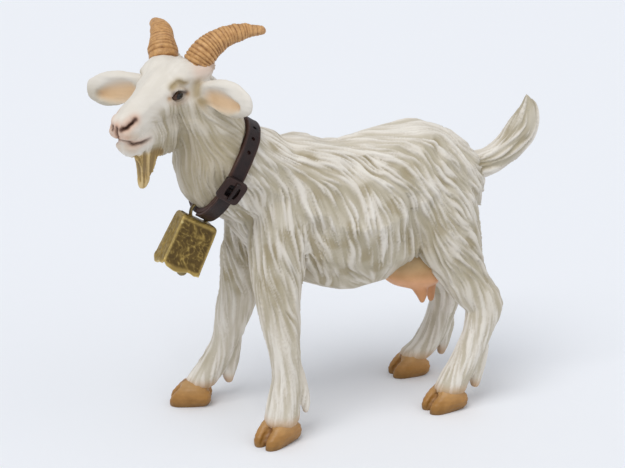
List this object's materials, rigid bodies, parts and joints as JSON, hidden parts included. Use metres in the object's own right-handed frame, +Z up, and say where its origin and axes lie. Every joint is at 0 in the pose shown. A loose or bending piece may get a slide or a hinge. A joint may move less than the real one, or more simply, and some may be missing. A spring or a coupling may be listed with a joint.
{
  "type": "goat figurine",
  "caption": "Moulded and painted white goat figurine with curved horns, a golden beard, a dark buckled collar and an antique-gold cow bell.",
  "frame": {"origin": "on the ground under the middle of the overall box", "axes": "+X towards the tail, so the goat faces -X; +Y towards its right side; +Z up"},
  "size_m": [0.0736, 0.0258, 0.0655],
  "materials": {
    "coat": "satin",
    "horn": "satin",
    "ear": "satin",
    "eye": "gloss",
    "beard": "satin",
    "udder": "satin",
    "hoof": "satin",
    "strap": "satin",
    "old_gold": "antique"
  },
  "bodies": {
    "goat": {"torso": "coat", "head": "coat", "left_horn": "horn", "right_horn": "horn", "left_ear": "ear", "right_ear": "ear", "left_eye": "eye", "right_eye": "eye", "beard": "beard", "tail": "coat", "udder": "udder", "front_left_leg": "coat", "front_right_leg": "coat", "hind_left_leg": "coat", "hind_right_leg": "coat", "front_left_hoof": "hoof", "front_right_hoof": "hoof", "hind_left_hoof": "hoof", "hind_right_hoof": "hoof", "collar_strap": "strap", "collar_buckle": "strap", "buckle_prong": "strap"},
    "bell": {"bell_shell": "old_gold", "bell_staple": "old_gold", "bell_pin": "old_gold"},
    "clapper": {"bell_clapper": "old_gold"}
  },
  "joints": [
    {"name": "bell_swing", "type": "hinge", "parent": "goat", "child": "bell", "pos_m": [-0.02158, -0.00132, 0.03635], "axis": [0, 1, 0], "range_deg": [-14, 25]},
    {"name": "clapper_swing", "type": "hinge", "parent": "bell", "child": "clapper", "pos_m": [-0.02292, -0.00132, 0.03372], "axis": [0, 1, 0], "range_deg": [-4, 24]}
  ]
}
